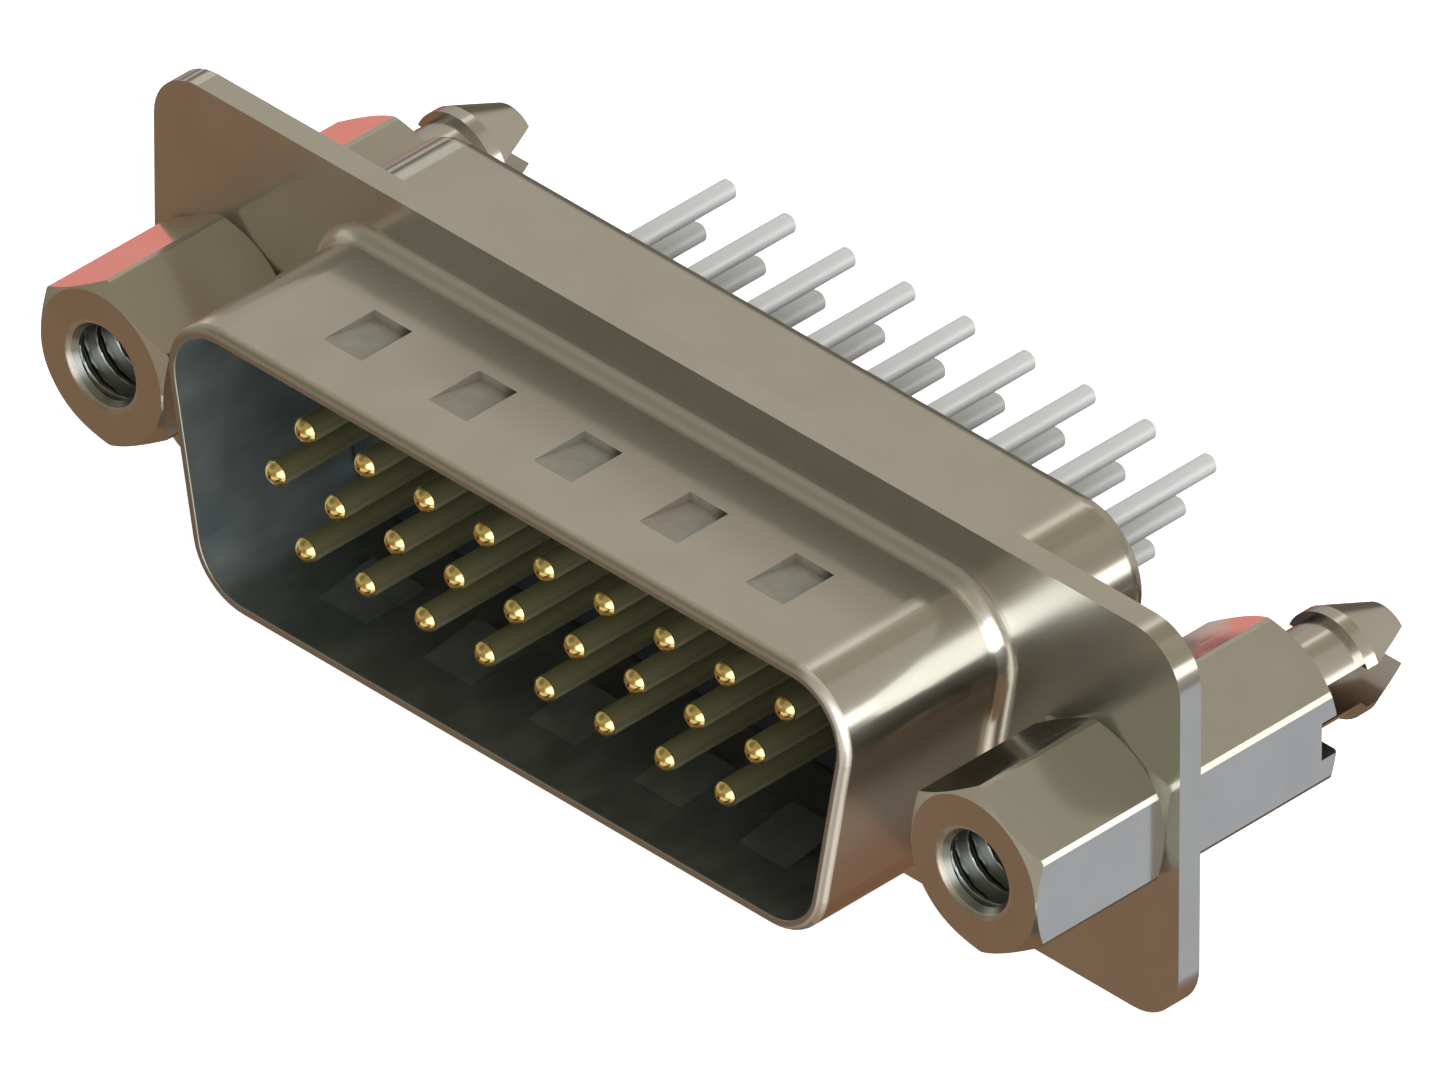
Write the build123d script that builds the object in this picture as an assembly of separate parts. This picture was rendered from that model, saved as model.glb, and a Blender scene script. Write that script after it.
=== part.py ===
from build123d import *
import math
import os

# ---------------------------------------------------------------------------
# High-density 26-contact D-sub plug, straight through-hole board mount.
# Frame: millimetres, +Z up. The origin is the centre of the flange's front
# face. +X runs along the connector, the mating side faces -Y, the solder
# tails point to +Y. The D is wide side up.
# ---------------------------------------------------------------------------

# flange, two sheets of steel face to face
FLANGE_W = 39.14
FLANGE_H = 12.55
FLANGE_R = 1.70
SHEET = 0.40               # each flange sheet
HOLE_SPACING = 33.32
FLANGE_HOLE_R = 1.60

# front shell, the D-shaped shroud
SIDE_ANGLE = 10.0          # degrees off vertical
CAVITY_W = 25.25           # widest inside width
CAVITY_H = 8.24
CAVITY_R = 1.65
SHROUD_WALL = 0.36
RIM_Y = -6.05
RIM_OUT_R = 0.25
RIM_IN_R = 0.03
ROOT_R = 0.50
BEND_IN_R = 0.30

# pressed dimples in the shroud
DIMPLE_X = (-8.04, -4.02, 0.0, 4.02, 8.04)
DIMPLE_W = 1.45
DIMPLE_Y0 = -4.19
DIMPLE_Y1 = -2.24
DIMPLE_D = 0.32

# rear shell
REAR_W = 27.90             # widest outside width
REAR_H = 10.72
REAR_R = 2.30
REAR_WALL = 0.36
REAR_Y = 4.60
REAR_ROOT_R = 0.30
REAR_EDGE_R = 0.60
LIP = 1.10                 # lip width measured in from the outside

# insulators
INS_FACE_Y = -0.20
INS_SPLIT_Y = 2.30
INS_BACK_Y = 4.95
INS_GAP = 0.09             # to the shells, all round

# contacts
PITCH = 2.29
ROW_Z = 1.98
ROW_SHIFT = 1.145 / 2      # the rows sit half a pitch apart, centred on the D
ROWS = ((ROW_Z, 9, ROW_SHIFT), (0.0, 9, -ROW_SHIFT), (-ROW_Z, 8, -ROW_SHIFT))
PIN_R = 0.38
PIN_TIP_Y = -5.32
PIN_DOME = 0.24
BARREL_R = 0.395
COLLAR_R = 0.50
COLLAR_Y0 = 1.20
COLLAR_Y1 = 3.00
STEM_R = 0.32
TAIL_Y0 = 5.17             # the tail proper starts clear of the insulator
TAIL_R = 0.305
TAIL_Y = 11.15
TAIL_CHAMFER = 0.05
PIN_HOLE_R = 0.40
COLLAR_HOLE_R = 0.52
STEM_HOLE_R = 0.33

# screwlocks and standoffs
HEX_AF = 4.75
HEX_EDGE_R = 0.20          # along the bar's corners
HEX_CHAMFER_R = 2.33       # radius left on the end faces
HEX_CHAMFER_L = 0.29       # axial length of the chamfer cone at full radius
JACK_Y = -4.90
THREAD_R = 1.42            # 4-40 major radius; the thread form itself is fine detail
THREAD_DEPTH = 4.00
STUD_R = 1.40
STUD_Y = 5.00
STUD_CHAMFER = 0.25
SOCKET_Y = 5.30
SEAT_Y = 6.64              # board seat
SLOT_H = 1.22
SLOT_Y = 5.99
NECK_R = 1.38
BARB_Y0 = 8.65
BARB_R = 1.60
BARB_Y1 = 9.06
LOCK_TIP_R = 0.95
LOCK_TIP_Y = 10.75


def at(y):
    """Sketch plane at this y: local x is +X, local y is +Z, normal is -Y."""
    return Plane(origin=(0, y, 0), x_dir=(1, 0, 0), z_dir=(0, -1, 0))


def slab(face, y0, y1):
    """The sketch as a prism from y0 to y1."""
    return extrude(at(y1) * face, amount=y1 - y0)


def d_face(width, height, radius):
    """D outline, wide side up; width is the widest point of the rounded outline."""
    tan = math.tan(math.radians(SIDE_ANGLE))
    lean = 1 / math.tan(math.radians((90 - SIDE_ANGLE) / 2)) - 1
    top = width / 2 + lean * radius
    bottom = top - height * tan
    h = height / 2
    poly = Polygon((-top, h), (-bottom, -h), (bottom, -h), (top, h), align=None)
    return fillet(poly.vertices(), radius)


def turned(points, x=0.0, z=0.0):
    """Solid of revolution about the Y axis through (x, z); points are (radius, y)."""
    ring = [(r, y, 0) for r, y in points]
    face = make_face(Polyline(*ring, close=True))
    return Pos(x, 0, z) * revolve(face, axis=Axis.Y)


def pin_at(r, y0, y1, x, z):
    return turned([(0, y0), (r, y0), (r, y1), (0, y1)], x, z)


def near_y(shape, y, tol=1e-4):
    """Edges that lie wholly in the plane at this y."""
    out = []
    for e in shape.edges():
        b = e.bounding_box()
        if abs(b.min.Y - y) < tol and abs(b.max.Y - y) < tol:
            out.append(e)
    return ShapeList(out)


def inside_box(edges, half_x, half_z):
    """Edges whose box lies within this half size of the axis."""
    out = []
    for e in edges:
        b = e.bounding_box()
        if max(abs(b.min.X), abs(b.max.X)) <= half_x and max(abs(b.min.Z), abs(b.max.Z)) <= half_z:
            out.append(e)
    return ShapeList(out)


def hexagon():
    """Flats face left and right, corners up and down."""
    bar = RegularPolygon(radius=HEX_AF / math.sqrt(3), side_count=6, rotation=90)
    return fillet(bar.vertices(), HEX_EDGE_R)


def hex_body(y0, y1, x):
    body = Pos(x, 0, 0) * slab(hexagon(), y0, y1)
    big = HEX_AF / math.sqrt(3) + 0.4
    slope = HEX_CHAMFER_L / (HEX_AF / math.sqrt(3) - HEX_CHAMFER_R)
    rise = (big - HEX_CHAMFER_R) * slope
    envelope = turned(
        [(0, y0), (HEX_CHAMFER_R, y0), (big, y0 + rise), (big, y1 - rise), (HEX_CHAMFER_R, y1), (0, y1)],
        x,
    )
    return body & envelope


# ---------------------------------------------------------------------------
# shells
# ---------------------------------------------------------------------------
flange_face = RectangleRounded(FLANGE_W, FLANGE_H, FLANGE_R)
screw_holes = [Pos(s * HOLE_SPACING / 2, 0) * Circle(FLANGE_HOLE_R) for s in (-1, 1)]
flange_face = flange_face - screw_holes[0] - screw_holes[1]


def front_cut():
    """Where the front shell is parted: just outside the bend from the flange into the shroud."""
    grow = SHROUD_WALL + ROOT_R + 0.02
    return d_face(CAVITY_W + 2 * grow, CAVITY_H + 2 * grow, CAVITY_R + grow)


def rear_cut():
    """Where the rear shell is parted: just outside the bend from the flange into the cover."""
    grow = REAR_ROOT_R + 0.02
    return d_face(REAR_W + 2 * grow, REAR_H + 2 * grow, REAR_R + grow)


def make_front_shell():
    plate = slab(flange_face, 0, SHEET)
    outer = d_face(CAVITY_W + 2 * SHROUD_WALL, CAVITY_H + 2 * SHROUD_WALL, CAVITY_R + SHROUD_WALL)
    inner = d_face(CAVITY_W, CAVITY_H, CAVITY_R)
    shell = plate + slab(outer, RIM_Y, SHEET)
    root = inside_box(near_y(shell, 0), CAVITY_W / 2 + 0.6, CAVITY_H / 2 + 0.6)
    shell = fillet(root, ROOT_R)
    shell = shell - slab(inner, RIM_Y - 1, SHEET + 1)
    rim = near_y(shell, RIM_Y)
    out_rim = ShapeList([e for e in rim if _is_outer(e)])
    in_rim = ShapeList([e for e in rim if not _is_outer(e)])
    shell = fillet(out_rim, RIM_OUT_R)
    rim = near_y(shell, RIM_Y)
    in_rim = ShapeList([e for e in rim if not _is_outer(e)])
    shell = fillet(in_rim, RIM_IN_R)
    back = inside_box(near_y(shell, SHEET), CAVITY_W / 2 + 0.05, CAVITY_H / 2 + 0.05)
    shell = fillet(back, BEND_IN_R)
    # dimples: a wedge pressed in from outside, with its bump on the inside
    z_out = CAVITY_H / 2 + SHROUD_WALL
    z_in = CAVITY_H / 2
    for side in (1, -1):
        for x in DIMPLE_X:
            bump = [
                (DIMPLE_Y0 - 0.25, z_in + 0.12),
                (DIMPLE_Y0 - 0.05, z_in),
                (DIMPLE_Y1 + 0.05, z_in - DIMPLE_D),
                (DIMPLE_Y1 + 0.30, z_in),
                (DIMPLE_Y1 + 0.30, z_in + 0.12),
            ]
            shell = shell + _wedge(bump, x, DIMPLE_W + 0.36, side)
    for side in (1, -1):
        for x in DIMPLE_X:
            dent = [
                (DIMPLE_Y0, z_out),
                (DIMPLE_Y0 - 0.02, z_out + 0.4),
                (DIMPLE_Y1, z_out + 0.4),
                (DIMPLE_Y1, z_out - DIMPLE_D),
            ]
            shell = shell - _wedge(dent, x, DIMPLE_W, side)
    return shell


def _is_outer(edge):
    """Does this rim edge belong to the outer outline?"""
    m = edge.center(CenterOf.MASS)
    lean = math.tan(math.radians(SIDE_ANGLE))
    half_h = CAVITY_H / 2 + 0.02
    if abs(m.Z) > half_h:
        return True
    inner_half = CAVITY_W / 2 + 0.19175 * CAVITY_R - (CAVITY_H / 2 - m.Z) * lean
    if abs(abs(m.X) - inner_half) < SHROUD_WALL / 2 and abs(m.Z) < CAVITY_H / 2 - CAVITY_R:
        return False
    if abs(m.Z) < CAVITY_H / 2 - CAVITY_R:
        return abs(m.X) > inner_half
    # a corner arc: compare its radius
    return edge.geom_type == GeomType.CIRCLE and edge.radius > CAVITY_R + SHROUD_WALL / 2


def _wedge(points, x, width, side):
    """A prism along X from a (y, z) outline, centred at x; side -1 mirrors it below."""
    ring = [(x - width / 2, y, side * z) for y, z in points]
    face = make_face(Polyline(*ring, close=True))
    return extrude(face, amount=width, dir=(1, 0, 0))


def make_rear_shell():
    plate = slab(flange_face, SHEET, 2 * SHEET)
    outer = d_face(REAR_W, REAR_H, REAR_R)
    inner = d_face(REAR_W - 2 * REAR_WALL, REAR_H - 2 * REAR_WALL, REAR_R - REAR_WALL)
    mouth = d_face(REAR_W - 2 * LIP, REAR_H - 2 * LIP, REAR_R - LIP)
    shell = plate + slab(outer, SHEET, REAR_Y)
    shell = fillet(inside_box(near_y(shell, 2 * SHEET), REAR_W / 2 + 0.6, REAR_H / 2 + 0.3), REAR_ROOT_R)
    shell = fillet(near_y(shell, REAR_Y), REAR_EDGE_R)
    shell = shell - slab(inner, SHEET - 1, REAR_Y - REAR_WALL)
    shell = shell - slab(mouth, SHEET, REAR_Y + 1)
    return shell


# ---------------------------------------------------------------------------
# contacts and insulators
# ---------------------------------------------------------------------------
positions = []
for row_z, count, centre in ROWS:
    for i in range(count):
        positions.append((centre + (i - (count - 1) / 2) * PITCH, row_z))


def make_contact(x, z):
    dome_r = (PIN_R**2 + PIN_DOME**2) / (2 * PIN_DOME)
    y0 = PIN_TIP_Y
    y1 = PIN_TIP_Y + PIN_DOME
    mid = math.asin(PIN_R / dome_r) / 2
    back = Polyline(
        (TAIL_R, TAIL_Y0, 0),
        (TAIL_R, TAIL_Y - TAIL_CHAMFER, 0),
        (TAIL_R - TAIL_CHAMFER, TAIL_Y, 0),
        (0, TAIL_Y, 0),
        (0, y0, 0),
    )
    tip = ThreePointArc(
        (0, y0, 0),
        (dome_r * math.sin(mid), y0 + dome_r * (1 - math.cos(mid)), 0),
        (PIN_R, y1, 0),
    )
    front = Polyline(
        (PIN_R, y1, 0),
        (PIN_R, INS_FACE_Y, 0),
        (BARREL_R, INS_FACE_Y + 0.02, 0),
        (BARREL_R, COLLAR_Y0, 0),
        (COLLAR_R, COLLAR_Y0, 0),
        (COLLAR_R, COLLAR_Y1, 0),
        (STEM_R, COLLAR_Y1, 0),
        (STEM_R, TAIL_Y0 - 0.03, 0),
        (TAIL_R, TAIL_Y0, 0),
    )
    face = make_face([back, tip, front])
    return Pos(x, 0, z) * revolve(face, axis=Axis.Y)


def drilled(block, steps):
    """The block with a stepped round hole for every contact; steps are (radius, y0, y1)."""
    for r, y0, y1 in steps:
        holes = Sketch() + [Pos(x, z) * Circle(r) for x, z in positions]
        block = block - slab(holes, y0, y1)
    return block


def make_front_insulator():
    nose = d_face(CAVITY_W - 2 * INS_GAP, CAVITY_H - 2 * INS_GAP, CAVITY_R - INS_GAP)
    inner_w = REAR_W - 2 * REAR_WALL
    inner_h = REAR_H - 2 * REAR_WALL
    body = d_face(inner_w - 2 * INS_GAP, inner_h - 2 * INS_GAP, REAR_R - REAR_WALL - INS_GAP)
    block = slab(nose, INS_FACE_Y, SHEET) + slab(body, SHEET, INS_SPLIT_Y)
    return drilled(
        block,
        [
            (PIN_HOLE_R, INS_FACE_Y - 1, COLLAR_Y0 + 0.5),
            (COLLAR_HOLE_R, COLLAR_Y0, INS_SPLIT_Y + 1),
        ],
    )


def make_rear_insulator():
    inner_w = REAR_W - 2 * REAR_WALL
    inner_h = REAR_H - 2 * REAR_WALL
    body = d_face(inner_w - 2 * INS_GAP, inner_h - 2 * INS_GAP, REAR_R - REAR_WALL - INS_GAP)
    tail = d_face(REAR_W - 2 * LIP - 2 * INS_GAP, REAR_H - 2 * LIP - 2 * INS_GAP, REAR_R - LIP - INS_GAP)
    block = slab(body, INS_SPLIT_Y, REAR_Y - REAR_WALL) + slab(tail, REAR_Y - REAR_WALL, INS_BACK_Y)
    return drilled(
        block,
        [
            (COLLAR_HOLE_R, INS_SPLIT_Y - 1, COLLAR_Y1),
            (STEM_HOLE_R, COLLAR_Y1 - 0.5, INS_BACK_Y + 1),
        ],
    )


# ---------------------------------------------------------------------------
# hardware
# ---------------------------------------------------------------------------
def make_jackscrew(x):
    body = hex_body(JACK_Y, 0, x)
    stud = turned(
        [(0, -0.5), (STUD_R, -0.5), (STUD_R, STUD_Y - STUD_CHAMFER), (STUD_R - STUD_CHAMFER, STUD_Y), (0, STUD_Y)],
        x,
    )
    bottom = JACK_Y + THREAD_DEPTH
    hole = turned(
        [(0, JACK_Y - 1), (THREAD_R, JACK_Y - 1), (THREAD_R, bottom), (0, bottom + 0.55)],
        x,
    )
    return body + stud - hole


def make_standoff(x):
    body = hex_body(2 * SHEET, SEAT_Y, x)
    lock = turned(
        [
            (0, SEAT_Y - 0.5),
            (NECK_R, SEAT_Y - 0.5),
            (NECK_R, BARB_Y0),
            (BARB_R, BARB_Y0),
            (BARB_R, BARB_Y1),
            (LOCK_TIP_R, LOCK_TIP_Y),
            (0, LOCK_TIP_Y),
        ],
        x,
    )
    socket = turned(
        [(0, SHEET), (THREAD_R, SHEET), (THREAD_R, SOCKET_Y - 0.35), (0.6, SOCKET_Y), (0, SOCKET_Y)],
        x,
    )
    slot = Pos(x, (SLOT_Y + LOCK_TIP_Y + 1) / 2, 0) * Box(HEX_AF + 2, LOCK_TIP_Y + 1 - SLOT_Y, SLOT_H)
    return body + lock - socket - slot


front_shell = make_front_shell()
rear_shell = make_rear_shell()
front_core = slab(front_cut(), RIM_Y - 1, SHEET + 1)
rear_core = slab(rear_cut(), SHEET - 1, REAR_Y + 1)

parts = {
    "front_flange": front_shell - front_core,
    "front_shroud": front_shell & front_core,
    "rear_flange": rear_shell - rear_core,
    "rear_cover": rear_shell & rear_core,
    "front_insulator": make_front_insulator(),
    "rear_insulator": make_rear_insulator(),
    "left_jackscrew": make_jackscrew(-HOLE_SPACING / 2),
    "right_jackscrew": make_jackscrew(HOLE_SPACING / 2),
    "left_board_standoff": make_standoff(-HOLE_SPACING / 2),
    "right_board_standoff": make_standoff(HOLE_SPACING / 2),
}
for number, (x, z) in enumerate(positions, 1):
    parts[f"contact_{number:02d}"] = make_contact(x, z)

os.makedirs("parts", exist_ok=True)
for name, shape in parts.items():
    solids = shape.solids()
    print(name, "solids", len(solids), "volume", round(sum(s.volume for s in solids), 4))
    export_step(solids[0] if len(solids) == 1 else Compound(children=solids), f"parts/{name}.step")
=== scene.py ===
import math

import bpy
import numpy as np
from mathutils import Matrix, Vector


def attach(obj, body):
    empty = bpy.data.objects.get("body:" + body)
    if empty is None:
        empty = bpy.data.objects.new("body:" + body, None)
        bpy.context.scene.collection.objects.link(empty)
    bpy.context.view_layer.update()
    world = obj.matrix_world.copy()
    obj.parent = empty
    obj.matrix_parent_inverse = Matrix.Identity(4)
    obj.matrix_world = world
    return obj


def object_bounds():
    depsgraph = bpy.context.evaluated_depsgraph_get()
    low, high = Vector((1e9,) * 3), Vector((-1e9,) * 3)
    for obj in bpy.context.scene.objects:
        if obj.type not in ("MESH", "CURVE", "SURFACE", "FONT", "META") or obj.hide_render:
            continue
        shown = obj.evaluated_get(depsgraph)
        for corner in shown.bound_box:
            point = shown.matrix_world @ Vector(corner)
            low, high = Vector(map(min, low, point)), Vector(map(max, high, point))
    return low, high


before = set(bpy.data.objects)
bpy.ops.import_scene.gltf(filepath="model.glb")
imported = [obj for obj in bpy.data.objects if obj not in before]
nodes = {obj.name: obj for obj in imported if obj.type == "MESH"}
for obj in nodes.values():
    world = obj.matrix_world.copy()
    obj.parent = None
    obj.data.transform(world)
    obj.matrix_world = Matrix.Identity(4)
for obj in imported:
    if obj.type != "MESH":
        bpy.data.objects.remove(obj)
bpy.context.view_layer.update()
MM = 0.001


# ---------------------------------------------------------------------------
# shader helpers
# ---------------------------------------------------------------------------
class Tree:
    """Short names for adding and wiring shader nodes."""

    def __init__(self, tree):
        self.t = tree
        tree.nodes.clear()

    def add(self, kind, inputs=None, **settings):
        n = self.t.nodes.new(kind)
        for k, v in settings.items():
            setattr(n, k, v)
        for k, v in (inputs or {}).items():
            self.put(n.inputs[k], v)
        return n

    def put(self, socket, value):
        if isinstance(value, bpy.types.NodeSocket):
            self.t.links.new(value, socket)
        else:
            socket.default_value = value

    def math(self, op, a, b=0.0, clamp=False):
        n = self.add("ShaderNodeMath", operation=op, use_clamp=clamp)
        self.put(n.inputs[0], a)
        self.put(n.inputs[1], b)
        return n.outputs[0]

    def smooth(self, value, low, high, out_low=0.0, out_high=1.0):
        """0 to 1 between low and high, eased at both ends."""
        n = self.add("ShaderNodeMapRange", interpolation_type="SMOOTHSTEP")
        self.put(n.inputs["Value"], value)
        for k, v in (("From Min", low), ("From Max", high), ("To Min", out_low), ("To Max", out_high)):
            n.inputs[k].default_value = v
        return n.outputs["Result"]

    def remap(self, value, low, high, out_low, out_high):
        n = self.add("ShaderNodeMapRange", interpolation_type="LINEAR")
        self.put(n.inputs["Value"], value)
        for k, v in (("From Min", low), ("From Max", high), ("To Min", out_low), ("To Max", out_high)):
            n.inputs[k].default_value = v
        return n.outputs["Result"]

    def mix(self, factor, a, b):
        n = self.add("ShaderNodeMix", data_type="RGBA")
        self.put(n.inputs[0], factor)
        self.put(n.inputs[6], a if isinstance(a, bpy.types.NodeSocket) else (*a, 1.0))
        self.put(n.inputs[7], b if isinstance(b, bpy.types.NodeSocket) else (*b, 1.0))
        return n.outputs[2]

    def mix_float(self, factor, a, b):
        n = self.add("ShaderNodeMix", data_type="FLOAT")
        self.put(n.inputs[0], factor)
        self.put(n.inputs[2], a)
        self.put(n.inputs[3], b)
        return n.outputs[0]

    def noise(self, coords, scale, detail=2.0, rough=0.5):
        n = self.add("ShaderNodeTexNoise", noise_dimensions="3D")
        self.put(n.inputs["Vector"], coords)
        n.inputs["Scale"].default_value = scale
        n.inputs["Detail"].default_value = detail
        n.inputs["Roughness"].default_value = rough
        return n.outputs["Fac"]

    def scaled(self, coords, scale):
        n = self.add("ShaderNodeMapping", vector_type="POINT")
        self.put(n.inputs["Vector"], coords)
        n.inputs["Scale"].default_value = scale
        return n.outputs["Vector"]

    def band(self, value, low, high, edge):
        """1 between low and high, 0 outside, eased over edge."""
        return self.math("MULTIPLY", self.smooth(value, low - edge, low + edge), self.smooth(value, high - edge, high + edge, 1.0, 0.0))

    def all(self, *values):
        out = values[0]
        for v in values[1:]:
            out = self.math("MULTIPLY", out, v)
        return out

    def mm(self, coords):
        """The three coordinates, in mm."""
        xyz = self.add("ShaderNodeSeparateXYZ", {"Vector": coords})
        return [self.math("MULTIPLY", o, 1000.0) for o in xyz.outputs]

    def vector(self, op, a, b):
        n = self.add("ShaderNodeVectorMath", operation=op)
        self.put(n.inputs[0], a)
        if b is not None:
            self.put(n.inputs[1], b)
        return n.outputs["Vector"]

    def blend_normal(self, factor, a, b):
        """World normal a to object normal b by factor, made unit length again."""
        turn = self.add("ShaderNodeVectorTransform", vector_type="NORMAL", convert_from="OBJECT", convert_to="WORLD")
        self.put(turn.inputs[0], b)
        b = turn.outputs[0]
        n = self.add("ShaderNodeMix", data_type="VECTOR")
        self.put(n.inputs[0], factor)
        self.put(n.inputs[4], a)
        self.put(n.inputs[5], b)
        return self.vector("NORMALIZE", n.outputs[1], None)

    def bump(self, height, distance, strength=1.0):
        n = self.add("ShaderNodeBump")
        self.put(n.inputs["Height"], height)
        n.inputs["Distance"].default_value = distance
        n.inputs["Strength"].default_value = strength
        return n.outputs["Normal"]


def material(name):
    m = bpy.data.materials.new(name)
    m.use_nodes = True
    return m, Tree(m.node_tree)


# ---------------------------------------------------------------------------
# materials
# ---------------------------------------------------------------------------
def two_lobes(t, colour, crisp, soft, share, normal):
    """A metal with a crisp and a soft reflection, mixed."""
    lobes = []
    for rough in (crisp, soft):
        bsdf = t.add("ShaderNodeBsdfPrincipled")
        t.put(bsdf.inputs["Base Color"], colour)
        bsdf.inputs["Metallic"].default_value = 1.0
        t.put(bsdf.inputs["Roughness"], rough)
        t.put(bsdf.inputs["Normal"], normal)
        lobes.append(bsdf.outputs[0])
    both = t.add("ShaderNodeMixShader")
    t.put(both.inputs[0], share)
    t.put(both.inputs[1], lobes[0])
    t.put(both.inputs[2], lobes[1])
    return both.outputs[0]


def nickel_sheet():
    """Bright nickel over drawn sheet: a faint orange peel outside; inside the shroud a duller metal in dark grey
    tones, painted shade.
    """
    m, t = material("nickel_sheet")
    tex = t.add("ShaderNodeTexCoord")
    obj = tex.outputs["Object"]
    cloud = t.noise(obj, 420.0, 3.0, 0.55)
    fine = t.noise(obj, 5200.0, 2.0, 0.6)
    drawn = t.noise(t.scaled(obj, (5200.0, 260.0, 5200.0)), 1.0, 2.0, 0.5)
    colour = t.mix(t.smooth(cloud, 0.35, 0.65), (0.685, 0.655, 0.600), (0.715, 0.690, 0.640))
    rough = t.math("ADD", t.remap(cloud, 0.3, 0.7, 0.135, 0.165), t.remap(fine, 0.3, 0.7, -0.012, 0.012))
    height = t.math("ADD", t.math("MULTIPLY", fine, 0.5), t.math("MULTIPLY", drawn, 0.5))
    normal = t.bump(height, 0.0000012)
    x0, y, z0 = t.mm(obj)
    x, z = t.math("ABSOLUTE", x0), t.math("ABSOLUTE", z0)
    n = t.add("ShaderNodeSeparateXYZ", {"Vector": tex.outputs["Normal"]}).outputs

    # the dimples: five in a row on both wide sides, each deeper towards the flange
    along = t.math("MULTIPLY", t.math("SUBTRACT", t.math("FRACT", t.math("ADD", t.math("DIVIDE", x0, 4.02), 10.5)), 0.5), 4.02)
    across = t.math("ABSOLUTE", along)
    in_row = t.all(t.math("LESS_THAN", x, 9.2), t.math("GREATER_THAN", y, -4.45), t.math("LESS_THAN", y, -2.05))
    sunk = t.math("MULTIPLY", t.remap(y, -4.19, -2.24, 0.0, 0.32), t.math("MULTIPLY", in_row, t.math("LESS_THAN", across, 0.815)))
    middle = t.math("SUBTRACT", 4.25, sunk)

    # inside the D: behind the rim, and nearer the axis than the middle of the wall
    side = t.math("SUBTRACT", t.math("SUBTRACT", x, t.math("MULTIPLY", z0, math.tan(math.radians(10.0)))), 12.30)
    flat = t.math("SUBTRACT", z, middle)
    cut = t.math("SUBTRACT", t.math("ADD", x, z), 15.75)
    edge = t.math("MAXIMUM", t.math("MAXIMUM", side, flat), cut)
    inside = t.math("MULTIPLY", t.math("LESS_THAN", edge, 0.0), t.math("GREATER_THAN", y, -6.0))
    nook = t.smooth(t.math("SUBTRACT", t.math("ADD", along, t.math("MULTIPLY", y, 0.9)), 0.0), -1.95, -1.40)
    dimple = t.all(in_row, t.math("LESS_THAN", across, 0.74), t.math("GREATER_THAN", z, middle), t.math("LESS_THAN", z, 4.470))

    # painted light and shade on the bends and the lip: the root bend a painted highlight at the corners and painted
    # shade along the flats, the lip's outer rounding a painted highlight on the right and painted shade elsewhere;
    # the flat rim face is tinted a darker blue-grey
    root = t.all(t.band(y, -0.50, -0.01, 0.01), t.math("LESS_THAN", z, 5.05))
    lip = t.band(y, -6.045, -5.79, 0.004)
    right = t.math("MULTIPLY", t.smooth(n["X"], 0.02, 0.20), t.math("GREATER_THAN", x0, 0.0))
    level = t.smooth(t.math("ABSOLUTE", n["X"]), 0.35, 0.15)
    colour = t.mix(root, colour, t.mix(level, (0.930, 0.905, 0.840), (0.660, 0.635, 0.570)))
    rough = t.math("ADD", rough, t.math("MULTIPLY", t.math("MULTIPLY", root, level), 0.38))
    colour = t.mix(lip, colour, t.mix(right, (0.560, 0.515, 0.430), (0.960, 0.940, 0.900)))
    rough = t.math("ADD", rough, t.math("MULTIPLY", lip, 0.30))
    colour = t.mix(t.math("LESS_THAN", y, -6.045), colour, (0.520, 0.580, 0.620))
    # painted reflection on the right side of the shroud, brown towards its lower edge, and a painted dark band just
    # under its corner highlight
    brown_reflection = t.all(t.math("GREATER_THAN", n["X"], 0.80), t.math("GREATER_THAN", x0, 10.5), t.band(y, -5.79, -0.30, 0.10), t.smooth(z0, 0.2, -2.4))
    colour = t.mix(brown_reflection, colour, (0.650, 0.500, 0.400))
    shade_band = t.all(t.smooth(n["X"], 0.90, 0.94), t.math("GREATER_THAN", x0, 10.5), t.band(y, -5.79, -0.30, 0.10), t.band(z0, 1.0, 2.9, 0.6))
    colour = t.mix(shade_band, colour, (0.450, 0.420, 0.385))
    # painted shade on the rear cover's right corner, browner and dimmer over its upper radius and darker below it,
    # and a painted reflected tone, grey-green, on the flange face beside the shroud
    rear = t.all(t.math("GREATER_THAN", y, 0.02), t.math("GREATER_THAN", x0, 0.0))
    colour = t.mix(t.all(rear, t.smooth(n["X"], 0.15, 0.30), t.smooth(n["Z"], 0.52, 0.58)), colour, t.mix(t.smooth(n["Z"], 0.90, 0.62), (0.650, 0.600, 0.520), (0.500, 0.465, 0.405)))
    colour = t.mix(t.all(rear, t.math("GREATER_THAN", n["X"], 0.80), t.smooth(n["Z"], 0.40, 0.32), t.math("LESS_THAN", x0, 16.0)), colour, (0.420, 0.380, 0.340))
    beside = t.all(t.math("LESS_THAN", n["Y"], -0.95), t.math("LESS_THAN", t.math("ABSOLUTE", y), 0.02), t.smooth(x0, 12.0, 14.0), t.smooth(z0, -1.5, 0.5))
    colour = t.mix(beside, colour, (0.690, 0.705, 0.645))
    rough = t.math("ADD", rough, t.math("MULTIPLY", beside, 0.04))
    # painted shade on the wide top, darker from the rim back towards the flange
    top_shade = t.all(t.math("GREATER_THAN", n["Z"], 0.97), t.smooth(x0, -9.0, -4.0), t.band(y, -5.2, -0.50, 0.20), t.smooth(y, -4.2, -2.2))
    colour = t.mix(top_shade, colour, (0.585, 0.560, 0.505))
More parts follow.
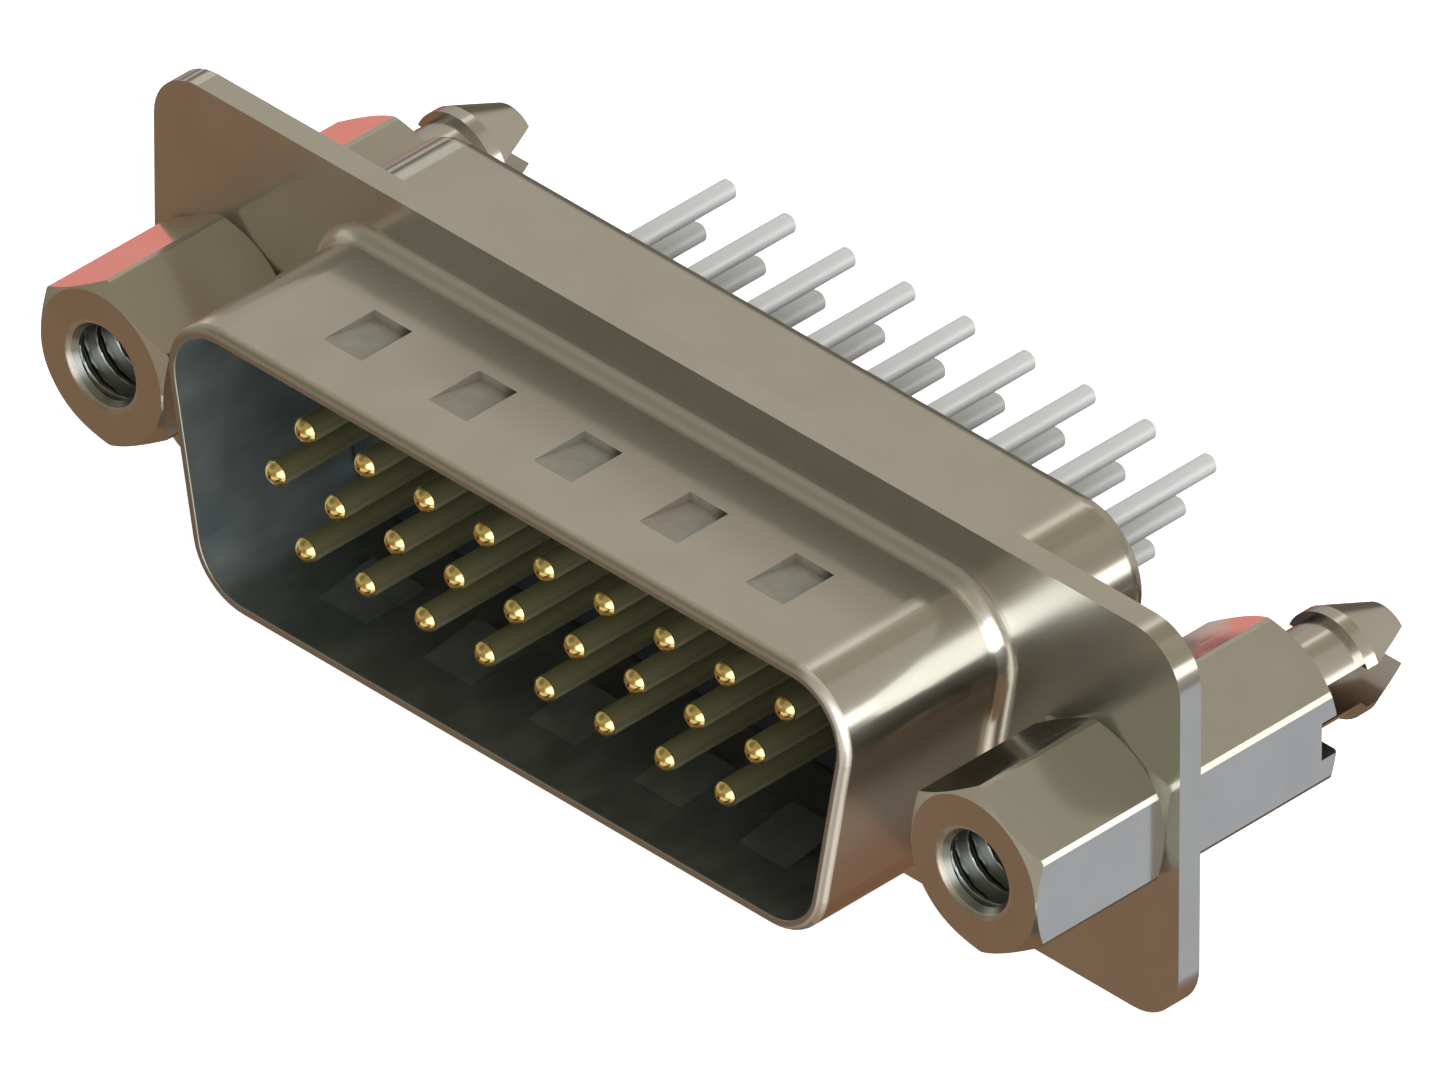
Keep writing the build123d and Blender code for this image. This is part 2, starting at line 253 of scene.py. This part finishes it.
    # the left corner radii behind the flange are rougher, and carry a painted highlight line, painted shade further
    # round and two painted dark lines
    steep = t.all(t.band(n["X"], -0.68, -0.30, 0.06), t.math("GREATER_THAN", n["Z"], 0.3), t.math("GREATER_THAN", y, 0.02))
    rough = t.math("ADD", rough, t.math("MULTIPLY", steep, 0.40))
    behind = t.all(t.math("GREATER_THAN", y, 0.02), t.math("GREATER_THAN", n["Z"], 0.3))
    colour = t.mix(t.math("MULTIPLY", behind, t.band(n["X"], -0.17, -0.06, 0.03)), colour, (1.000, 0.985, 0.980))
    colour = t.mix(t.math("MULTIPLY", behind, t.smooth(n["X"], -0.40, -0.48)), colour, (0.500, 0.500, 0.490))
    shade_lines = t.math("MAXIMUM", t.band(n["X"], -0.28, -0.21, 0.02), t.band(n["X"], -0.43, -0.36, 0.02))
    colour = t.mix(t.math("MULTIPLY", behind, shade_lines), colour, (0.290, 0.255, 0.270))
    outside = two_lobes(t, colour, rough, 0.42, 0.38, normal)
    # the dimples are shaded matte in a tone that stands in for their reflection, a painted reflection varied at
    # random, with painted shade in the corner nearest the flange on the right
    stain = t.smooth(t.noise(t.scaled(obj, (1500.0, 1500.0, 800.0)), 1.0, 3.0, 0.6), 0.42, 0.60)
    dent = t.mix(stain, (0.300, 0.250, 0.190), (0.300, 0.290, 0.225))
    pressed = t.add("ShaderNodeBsdfDiffuse", {"Color": t.mix(nook, dent, (0.065, 0.062, 0.040)), "Roughness": 0.6})
    dented = t.add("ShaderNodeMixShader")
    t.put(dented.inputs[0], t.math("MULTIPLY", dimple, t.remap(nook, 0.0, 1.0, 0.82, 0.97)))
    t.put(dented.inputs[1], outside)
    t.put(dented.inputs[2], pressed.outputs[0])
    outside = dented.outputs[0]

    wear = t.noise(t.scaled(obj, (900.0, 500.0, 900.0)), 1.0, 4.0, 0.65)
    facing = n["X"]
    worn = t.smooth(wear, 0.35, 0.7)
    # painted shade inside the shroud: dark grey tones on its floor and walls, lighter on the wall that faces +X as
    # painted light, with a paler painted highlight along its bend
    floor_grey = t.mix(worn, (0.215, 0.235, 0.215), (0.275, 0.290, 0.265))
    lit_wall_grey = t.mix(worn, (0.450, 0.520, 0.535), (0.530, 0.600, 0.600))
    grey = t.mix(t.math("MULTIPLY", t.smooth(facing, 0.15, 0.70), t.math("GREATER_THAN", x, 9.5)), floor_grey, lit_wall_grey)
    bend_highlight = t.math("MULTIPLY", t.smooth(facing, 0.66, 0.74), t.smooth(facing, 0.86, 0.80))
    grey = t.mix(t.math("MULTIPLY", bend_highlight, 0.35), grey, (0.66, 0.71, 0.66))
    dull = t.add("ShaderNodeBsdfPrincipled")
    t.put(dull.inputs["Base Color"], grey)
    dull.inputs["Metallic"].default_value = 0.85
    t.put(dull.inputs["Roughness"], t.remap(wear, 0.3, 0.7, 0.34, 0.46))
    t.put(dull.inputs["Normal"], normal)
    both = t.add("ShaderNodeMixShader")
    t.put(both.inputs[0], inside)
    t.put(both.inputs[1], outside)
    t.put(both.inputs[2], dull.outputs[0])
    out = t.add("ShaderNodeOutputMaterial")
    t.put(out.inputs["Surface"], both.outputs[0])
    return m


def nickel_turned():
    """Bright nickel over bar stock: flats as milled, turned surfaces with rings along the axis."""
    m, t = material("nickel_turned")
    obj = t.add("ShaderNodeTexCoord").outputs["Object"]
    cloud = t.noise(obj, 520.0, 3.0, 0.55)
    fine = t.noise(obj, 6000.0, 2.0, 0.6)
    rings = t.noise(t.scaled(obj, (300.0, 9000.0, 300.0)), 1.0, 2.0, 0.5)
    colour = t.mix(t.smooth(cloud, 0.35, 0.65), (0.690, 0.660, 0.605), (0.720, 0.695, 0.645))
    rough = t.math("ADD", t.remap(cloud, 0.3, 0.7, 0.130, 0.160), t.remap(fine, 0.3, 0.7, -0.01, 0.01))
    height = t.math("ADD", t.math("MULTIPLY", fine, 0.3), t.math("MULTIPLY", rings, 0.7))
    tex = t.add("ShaderNodeTexCoord")
    x0, y, z = t.mm(obj)
    x = t.math("SUBTRACT", x0, t.math("MULTIPLY", t.math("SIGN", x0), 16.66))
    r = t.math("SQRT", t.math("ADD", t.math("MULTIPLY", x, x), t.math("MULTIPLY", z, z)))
    n = t.add("ShaderNodeSeparateXYZ", {"Vector": tex.outputs["Normal"]}).outputs
    ny = t.math("ABSOLUTE", n["Y"])
    along = t.math("LESS_THAN", ny, 0.1)
    # the hexagon's rounded corners, burnished flat
    corner = t.all(t.smooth(r, 2.688, 2.694), along)
    radial = t.add("ShaderNodeCombineXYZ", {"X": x, "Y": 0.0, "Z": z}).outputs[0]
    normal = t.blend_normal(corner, t.bump(height, 0.0000010), t.vector("NORMALIZE", radial, None))
    # painted shade on the rounded corners that face right, and a painted dark brown on the left screwlock's lower
    # right corner
    colour = t.mix(t.math("MULTIPLY", corner, t.math("GREATER_THAN", n["X"], 0.6)), colour, (0.530, 0.520, 0.490))
    colour = t.mix(t.all(corner, t.math("LESS_THAN", x0, 0.0), t.math("GREATER_THAN", n["X"], 0.6), t.math("LESS_THAN", n["Z"], 0.0)), colour, (0.300, 0.200, 0.130))
    # the cone at each end of the bar takes the tone of the flats beside it
    cone = t.all(t.band(ny, 0.25, 0.90, 0.02), t.math("GREATER_THAN", z, 0.2), t.math("GREATER_THAN", r, 2.2), t.math("LESS_THAN", y, -4.3))
    normal = t.blend_normal(t.math("MULTIPLY", cone, 0.85), normal, (0.497, -0.10, 0.862))
    # front screwlocks: painted light on the upper right flats, brighter towards the flange; painted shade on the left
    # one's flats and cone, strongest at the front, and a darker painted tone on the right one's flats
    front = t.math("LESS_THAN", y, -0.01)
    flats = t.all(front, along, t.math("GREATER_THAN", n["X"], 0.3), t.math("GREATER_THAN", n["Z"], 0.3))
    colour = t.mix(t.math("MULTIPLY", flats, t.smooth(y, -3.4, -1.6)), colour, (0.730, 0.700, 0.640))
    left = t.all(t.math("MAXIMUM", flats, cone), t.math("LESS_THAN", x0, 0.0))
    colour = t.mix(t.math("MULTIPLY", left, t.smooth(y, -1.2, -3.2, 0.5, 1.0)), colour, (0.560, 0.510, 0.420))
    colour = t.mix(t.all(flats, t.math("GREATER_THAN", x0, 0.0)), colour, (0.640, 0.615, 0.555))
    # a painted reflection of the shroud, dark with lighter mottled patches, on the face of the right screwlock that
    # looks at the shroud
    mottle = t.noise(t.scaled(obj, (1800.0, 700.0, 1800.0)), 1.0, 4.0, 0.65)
    dark = t.all(front, along, t.math("LESS_THAN", n["X"], -0.3), t.math("GREATER_THAN", n["Z"], 0.3), t.math("GREATER_THAN", x0, 0.0))
    shroud_reflection = t.mix(t.all(t.smooth(mottle, 0.42, 0.62), t.smooth(x, -0.75, -0.25), t.smooth(y, -4.4, -3.4)), (0.130, 0.135, 0.110), (0.620, 0.620, 0.560))
    colour = t.mix(dark, colour, shroud_reflection)
    # painted shade inside the slot sawn across the board lock, darkest near the hexagon, lighter towards the tip
    sawn = t.all(t.math("GREATER_THAN", y, 5.95), t.math("LESS_THAN", t.math("ABSOLUTE", z), 0.6105), t.math("GREATER_THAN", t.math("ABSOLUTE", n["Z"]), 0.9))
    colour = t.mix(t.math("MULTIPLY", sawn, t.smooth(y, 9.6, 8.0)), colour, (0.180, 0.170, 0.150))
    colour = t.mix(t.math("MULTIPLY", sawn, t.smooth(y, 8.6, 9.8)), colour, (0.560, 0.520, 0.490))
    # painted dark reflection on the board locks' left sides
    lock_dark_reflection = t.all(t.math("GREATER_THAN", y, 6.70), t.smooth(n["X"], -0.15, -0.45))
    colour = t.mix(lock_dark_reflection, colour, (0.190, 0.200, 0.195))
    # a mottled painted dark reflection on the face of the right standoff that looks at the cover, next to the flange
    facing = t.all(t.band(y, 0.3, 5.3, 0.5), along, t.math("LESS_THAN", n["X"], -0.3), t.math("GREATER_THAN", n["Z"], 0.3), t.math("GREATER_THAN", x0, 0.0))
    colour = t.mix(t.math("MULTIPLY", facing, t.smooth(mottle, 0.62, 0.42, 0.55, 1.0)), colour, (0.200, 0.180, 0.170))
    out = t.add("ShaderNodeOutputMaterial")
    t.put(out.inputs["Surface"], two_lobes(t, colour, rough, 0.40, 0.30, normal))
    return m


def contact_metal():
    """Gold on the pin, matte tin on the tail; the change lies inside the insulators."""
    m, t = material("contact_plating")
    tex = t.add("ShaderNodeTexCoord")
    obj, gen = tex.outputs["Object"], tex.outputs["Generated"]
    xyz = t.add("ShaderNodeSeparateXYZ", {"Vector": obj})
    tail = t.smooth(xyz.outputs["Y"], 0.0021, 0.0022)
    fine = t.noise(obj, 9000.0, 2.0, 0.6)
    rings = t.noise(t.scaled(obj, (500.0, 12000.0, 500.0)), 1.0, 2.0, 0.5)
    grain = t.noise(obj, 14000.0, 2.0, 0.6)
    # distance from the contact's own axis, in mm
    g = t.add("ShaderNodeSeparateXYZ", {"Vector": gen})
    dx = t.math("SUBTRACT", g.outputs["X"], 0.5)
    dz = t.math("SUBTRACT", g.outputs["Z"], 0.5)
    r = t.math("MULTIPLY", t.math("SQRT", t.math("ADD", t.math("MULTIPLY", dx, dx), t.math("MULTIPLY", dz, dz))), 1.2)
    front = t.math("LESS_THAN", xyz.outputs["Y"], -0.00515)
    pip = t.math("MULTIPLY", t.smooth(r, 0.080, 0.045), front)
    stem = t.math("MULTIPLY", t.smooth(xyz.outputs["Y"], -0.00508, -0.00502), t.smooth(tail, 0.5, 0.0))
    gold = t.mix(fine, (0.95, 0.73, 0.27), (0.98, 0.78, 0.33))
    below = t.add("ShaderNodeSeparateXYZ", {"Vector": tex.outputs["Normal"]}).outputs
    # the stems are coloured dark olive as painted shade, lighter towards their lower right side, with a painted
    # highlight line along it
    lit = t.math("SUBTRACT", below["X"], below["Z"])
    stem_shading = t.mix(t.smooth(lit, -1.2, 0.6), (0.330, 0.310, 0.150), (0.460, 0.430, 0.230))
    stem_shading = t.mix(t.smooth(lit, 0.95, 1.30), stem_shading, (0.760, 0.720, 0.460))
    gold = t.mix(stem, gold, stem_shading)
    gold = t.mix(pip, gold, (0.16, 0.07, 0.03))
    tin = t.mix(grain, (0.84, 0.86, 0.87), (0.90, 0.91, 0.92))
    # painted shade on the tails: darker on their undersides, and darker on the lower rows, weaker at the right end
    underside_shade = t.smooth(t.math("SUBTRACT", below["Z"], t.math("MULTIPLY", below["X"], 0.3)), 0.10, -0.90)
    tin = t.mix(t.math("MULTIPLY", underside_shade, 0.75), tin, (0.30, 0.31, 0.31))
    lower_row_shade = t.smooth(t.math("MULTIPLY", xyz.outputs["Z"], 1000.0), 1.2, 0.7)
    tin = t.mix(t.math("MULTIPLY", lower_row_shade, t.smooth(t.math("MULTIPLY", xyz.outputs["X"], 1000.0), 11.0, 4.0, 0.35, 1.0)), tin, t.mix(underside_shade, (0.50, 0.51, 0.50), (0.22, 0.22, 0.21)))
    # painted shade on the tails near the shell, and painted light towards their ends
    length = t.math("MULTIPLY", xyz.outputs["Y"], 1000.0)
    tin = t.mix(t.smooth(length, 8.5, 5.2, 0.0, 0.40), tin, (0.42, 0.42, 0.40))
    tin = t.mix(t.smooth(length, 8.5, 11.2, 0.0, 0.50), tin, (0.98, 0.98, 0.98))
    colour = t.mix(tail, gold, tin)
    rough = t.add("ShaderNodeMix", data_type="FLOAT")
    t.put(rough.inputs[0], tail)
    t.put(rough.inputs[2], t.mix_float(stem, t.remap(fine, 0.3, 0.7, 0.16, 0.20), 0.28))
    t.put(rough.inputs[3], t.remap(grain, 0.3, 0.7, 0.50, 0.60))
    bsdf = t.add("ShaderNodeBsdfPrincipled")
    t.put(bsdf.inputs["Base Color"], colour)
    t.put(bsdf.inputs["Metallic"], t.math("SUBTRACT", t.remap(tail, 0.0, 1.0, 1.0, 0.60), t.math("MULTIPLY", stem, 0.30)))
    t.put(bsdf.inputs["Roughness"], rough.outputs[0])
    height = t.math("ADD", t.math("MULTIPLY", rings, 0.6), t.math("MULTIPLY", grain, 0.4))
    t.put(bsdf.inputs["Normal"], t.bump(t.math("MULTIPLY", height, tail), 0.0000006))
    out = t.add("ShaderNodeOutputMaterial")
    t.put(out.inputs["Surface"], bsdf.outputs[0])
    return m


def black_moulding():
    """Glass-filled black thermoplastic with a fine moulded grain."""
    m, t = material("black_moulding")
    obj = t.add("ShaderNodeTexCoord").outputs["Object"]
    grain = t.noise(obj, 9000.0, 3.0, 0.6)
    flow = t.noise(obj, 700.0, 3.0, 0.55)
    colour = t.mix(flow, (0.016, 0.019, 0.026), (0.024, 0.028, 0.036))
    bsdf = t.add("ShaderNodeBsdfPrincipled")
    t.put(bsdf.inputs["Base Color"], colour)
    t.put(bsdf.inputs["Roughness"], t.remap(grain, 0.3, 0.7, 0.36, 0.46))
    t.put(bsdf.inputs["Normal"], t.bump(grain, 0.000004, 0.5))
    out = t.add("ShaderNodeOutputMaterial")
    t.put(out.inputs["Surface"], bsdf.outputs[0])
    return m


def thread_metal():
    """The cut thread, in painted shade: a mid grey at the mouth with a light ledge, dark further in, with paler
    crests as painted highlights.
    """
    m, t = material("cut_thread")
    obj = t.add("ShaderNodeTexCoord").outputs["Object"]
    xyz = t.add("ShaderNodeSeparateXYZ", {"Vector": obj})
    x = t.math("SUBTRACT", t.math("ABSOLUTE", t.math("MULTIPLY", xyz.outputs["X"], 1000.0)), 16.66)
    z = t.math("MULTIPLY", xyz.outputs["Z"], 1000.0)
    r = t.math("SQRT", t.math("ADD", t.math("MULTIPLY", x, x), t.math("MULTIPLY", z, z)))
    deep = t.smooth(t.math("MULTIPLY", xyz.outputs["Y"], 1000.0), -4.67, -4.61)
    crest = t.smooth(r, 1.170, 1.135)
    grain = t.noise(t.scaled(obj, (2600.0, 5200.0, 2600.0)), 1.0, 3.0, 0.6)
    # painted shade: the mouth a mid grey, the bore darker, its crests paler as painted highlights
    mouth = t.mix(grain, (0.26, 0.27, 0.24), (0.33, 0.34, 0.30))
    ledge = t.all(t.math("GREATER_THAN", r, 1.268), t.math("LESS_THAN", t.math("MULTIPLY", xyz.outputs["Y"], 1000.0), -4.80))
    mouth = t.mix(ledge, mouth, (0.70, 0.67, 0.62))
    bore = t.mix(grain, (0.105, 0.112, 0.105), (0.165, 0.172, 0.158))
    bore = t.mix(crest, bore, (0.44, 0.46, 0.43))
    bsdf = t.add("ShaderNodeBsdfPrincipled")
    t.put(bsdf.inputs["Base Color"], t.mix(deep, mouth, bore))
    bsdf.inputs["Metallic"].default_value = 1.0
    t.put(bsdf.inputs["Roughness"], t.remap(grain, 0.3, 0.7, 0.30, 0.40))
    t.put(bsdf.inputs["Normal"], t.bump(grain, 0.000001))
    out = t.add("ShaderNodeOutputMaterial")
    t.put(out.inputs["Surface"], bsdf.outputs[0])
    return m


SHEET, TURNED, CONTACT, BLACK = nickel_sheet(), nickel_turned(), contact_metal(), black_moulding()
THREAD = thread_metal()
FINISH = {
    "front_flange": SHEET,
    "front_shroud": SHEET,
    "rear_flange": SHEET,
    "rear_cover": SHEET,
    "front_insulator": BLACK,
    "rear_insulator": BLACK,
    "left_jackscrew": TURNED,
    "right_jackscrew": TURNED,
    "left_board_standoff": TURNED,
    "right_board_standoff": TURNED,
}
for name, o in nodes.items():
    finish = FINISH.get(name, CONTACT)
    if not o.material_slots:
        o.data.materials.append(finish)
    for s in o.material_slots:
        s.material = finish


# ---------------------------------------------------------------------------
# the female thread in each screwlock, as a closed ring
# ---------------------------------------------------------------------------
def thread_sleeve(name, x):
    pitch, major, minor = 0.635, 1.400, 1.13
    y_face, y_end, r_out = -4.899, -1.35, 1.430
    step, ledge, slope = 0.085, 1.275, 0.85      # shallow counterbore, then the countersink
    lead_in = step + (ledge - minor) / slope
    around, per_turn = 96, 14

    def radius(d, turn):
        """Inside radius at a depth behind the face."""
        f = (d / pitch - turn) % 1.0
        crest, root = 0.16, 0.10
        half = (1.0 - crest - root) / 2
        if f < crest:
            cut = 0.0
        elif f < crest + half:
            cut = (f - crest) / half
        elif f < crest + half + root:
            cut = 1.0
        else:
            cut = 1.0 - (f - crest - half - root) / half
        if d < lead_in:
            return ledge - (d - step) * slope
        return minor + (major - minor) * min(cut, (d - lead_in) * 4.0)

    depth = y_end - y_face
    count = int(depth / pitch * per_turn)
    rings = [(0.0, major), (step, major), (step, ledge)]
    rings += [(lead_in * 0.5 + step * 0.5, None), (lead_in, None)]
    rings += [(lead_in + (depth - lead_in) * n / count, None) for n in range(1, count + 1)]
    rows = len(rings) - 1
    verts, faces = [], []
    for d, fixed in rings:
        for i in range(around):
            a = 2 * math.pi * i / around
            r = fixed if fixed is not None else radius(d, i / around)
            verts.append(((x + r * math.cos(a)) * MM, (y_face + d) * MM, r * math.sin(a) * MM))
    outer = len(verts)
    for y in (y_end, y_face):
        for i in range(around):
            a = 2 * math.pi * i / around
            verts.append(((x + r_out * math.cos(a)) * MM, y * MM, r_out * math.sin(a) * MM))
    for j in range(rows):
        for i in range(around):
            k = (i + 1) % around
            faces.append((j * around + i, (j + 1) * around + i, (j + 1) * around + k, j * around + k))
    last = rows * around
    for i in range(around):
        k = (i + 1) % around
        faces.append((last + i, outer + i, outer + k, last + k))
        faces.append((outer + i, outer + around + i, outer + around + k, outer + k))
        faces.append((outer + around + i, i, k, outer + around + k))
    me = bpy.data.meshes.new(name)
    me.from_pydata(verts, [], faces)
    me.update()
    o = bpy.data.objects.new(name, me)
    bpy.context.scene.collection.objects.link(o)
    inner = rows * around
    me.polygons.foreach_set("use_smooth", [n < inner for n in range(len(me.polygons))])
    me.set_sharp_from_angle(angle=math.radians(32))
    me.materials.append(THREAD)
    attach(o, "root")
    return o


thread_sleeve("left_screwlock_thread", -16.66)
thread_sleeve("right_screwlock_thread", 16.66)


# ---------------------------------------------------------------------------
# floor
# ---------------------------------------------------------------------------
def floor_material():
    m, t = material("studio_floor")
    obj = t.add("ShaderNodeTexCoord").outputs["Object"]
    cloud = t.noise(obj, 8.0, 2.0, 0.5)
    diffuse = t.add("ShaderNodeBsdfDiffuse")
    t.put(diffuse.inputs["Color"], t.mix(cloud, (0.86, 0.86, 0.86), (0.88, 0.88, 0.88)))
    glow = t.add("ShaderNodeEmission", {"Color": (1.0, 1.0, 1.0, 1.0), "Strength": 0.80})
    both = t.add("ShaderNodeAddShader")
    t.put(both.inputs[0], diffuse.outputs[0])
    t.put(both.inputs[1], glow.outputs[0])
    out = t.add("ShaderNodeOutputMaterial")
    t.put(out.inputs["Surface"], both.outputs[0])
    return m


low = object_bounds()[0].z
half = 1.5
me = bpy.data.meshes.new("floor")
me.from_pydata([(-half, -half, low), (half, -half, low), (half, half, low), (-half, half, low)], [], [(0, 1, 2, 3)])
me.update()
floor = bpy.data.objects.new("floor", me)
bpy.context.scene.collection.objects.link(floor)
floor.data.materials.append(floor_material())
floor.visible_glossy = False
floor.visible_diffuse = False


# ---------------------------------------------------------------------------
# light: a soft surround with a few large cards, set by the angle round the
# connector's long mating axis (0 = right, 90 = up, 180 = left) and by how far
# forward or back they stand
# ---------------------------------------------------------------------------
CARDS = [
    # angle, half width, edge, from y, to y, y edge, colour
    # back half
    (-115, 59, 3, -1.20, 0.80, 0.10, (0.23, 0.14, 0.08)),   # warm floor
    (-41, 15, 3, 0.46, 0.74, 0.05, (0.49, 0.54, 0.62)),     # cool fill, low right
    (-13, 12, 4, 0.15, 0.74, 0.05, (0.18, 0.18, 0.17)),     # dark gap
    (12, 9, 4, 0.15, 0.74, 0.05, (2.40, 2.33, 2.17)),       # tall strip, right
    (90, 14, 4, 0.15, 0.74, 0.05, (0.32, 0.30, 0.22)),      # dim overhead
    (116, 5, 2, 0.15, 0.74, 0.05, (1.05, 0.99, 0.88)),      # thin overhead strip
    (180, 10, 4, 0.15, 0.74, 0.05, (0.75, 0.74, 0.69)),     # strip, left
    (195, 5, 2, 0.46, 0.68, 0.04, (1.00, 0.24, 0.21)),      # small red card
    (-105, 107, 8, 0.70, 0.86, 0.04, (0.09, 0.08, 0.06)),   # dark, behind left and below
    # front half
    (100, 48, 8, -0.90, -0.10, 0.15, (0.31, 0.28, 0.21)),   # dim, above
    (135, 24, 8, -0.80, -0.30, 0.08, (0.16, 0.16, 0.13)),   # dimmer, upper left
    (8, 28, 6, -0.90, 0.0, 0.15, (2.60, 2.65, 2.65)),       # wide window, front right
    (-58, 36, 5, -0.72, -0.50, 0.04, (0.03, 0.03, 0.03)),   # dark, low right
    (-41, 12, 4, -0.50, 0.40, 0.05, (1.15, 1.10, 0.96)),    # low window, right
    (-88, 42, 8, -0.95, -0.71, 0.03, (0.80, 0.76, 0.65)),   # low window, front
]
# towards the two ends of the mating axis: from y, y edge, colour
POLES = [
    (0.88, 0.03, (0.48, 0.44, 0.37)),
    (-0.95, -0.03, (0.27, 0.24, 0.18)),
]
SURROUND = (0.45, 0.42, 0.35)
SOFT = (0.80, 0.84, 0.88)     # what matte surfaces are lit by


def studio():
    world = bpy.data.worlds.new("studio")
    bpy.context.scene.world = world
    world.use_nodes = True
    t = Tree(world.node_tree)
    direction = t.add("ShaderNodeTexCoord").outputs["Generated"]
    d = t.add("ShaderNodeSeparateXYZ", {"Vector": direction})
    x, y, z = d.outputs
    r = t.math("SQRT", t.math("MAXIMUM", t.math("ADD", t.math("MULTIPLY", x, x), t.math("MULTIPLY", z, z)), 1e-6))
    cx, cz = t.math("DIVIDE", x, r), t.math("DIVIDE", z, r)
    colour = SURROUND
    for angle, half_width, edge, y0, y1, y_edge, card in CARDS:
        a = math.radians(angle)
        dot = t.math("ADD", t.math("MULTIPLY", cx, math.cos(a)), t.math("MULTIPLY", cz, math.sin(a)))
        mask = t.smooth(dot, math.cos(math.radians(half_width + edge)), math.cos(math.radians(max(half_width - edge, 0))))
        if y0 > -1:
            mask = t.math("MULTIPLY", mask, t.smooth(y, y0 - y_edge, y0 + y_edge))
        if y1 < 1:
            mask = t.math("MULTIPLY", mask, t.smooth(y, y1 - y_edge, y1 + y_edge, 1.0, 0.0))
        colour = t.mix(mask, colour, card)
    for y0, y_edge, card in POLES:
        colour = t.mix(t.smooth(t.math("MULTIPLY", y, math.copysign(1, y0)), abs(y0) - abs(y_edge), abs(y0) + abs(y_edge)), colour, card)
    path = t.add("ShaderNodeLightPath")
    colour = t.mix(path.outputs["Is Diffuse Ray"], colour, SOFT)
    light = t.add("ShaderNodeBackground", {"Color": colour, "Strength": 1.0})
    plain = t.add("ShaderNodeBackground", {"Color": (1.0, 1.0, 1.0, 1.0), "Strength": 1.0})
    seen = path.outputs["Is Camera Ray"]
    both = t.add("ShaderNodeMixShader")
    t.put(both.inputs[0], seen)
    t.put(both.inputs[1], light.outputs[0])
    t.put(both.inputs[2], plain.outputs[0])
    out = t.add("ShaderNodeOutputWorld")
    t.put(out.inputs["Surface"], both.outputs[0])


studio()

# ---------------------------------------------------------------------------
# camera: isometric, from the right, front and above, through a very long lens
# ---------------------------------------------------------------------------
LENS = 1225.0
FRAME_WIDTH = 1440 / 37.05 * MM
TARGET = Vector((0.000966, 0.001219, 0.0))
away = Vector((1.0, -1.0, 1.0)).normalized()
camera = bpy.data.objects.new("camera", bpy.data.cameras.new("camera"))
bpy.context.scene.collection.objects.link(camera)
camera.data.sensor_width = 36.0
camera.data.lens = LENS
camera.data.clip_start = 0.01
camera.data.clip_end = 10.0
camera.location = TARGET + away * (FRAME_WIDTH * LENS / 36.0)
camera.rotation_euler = away.to_track_quat("Z", "Y").to_euler()
bpy.context.scene.camera = camera

bpy.context.scene.view_settings.view_transform = "Standard"
bpy.context.scene.view_settings.look = "None"
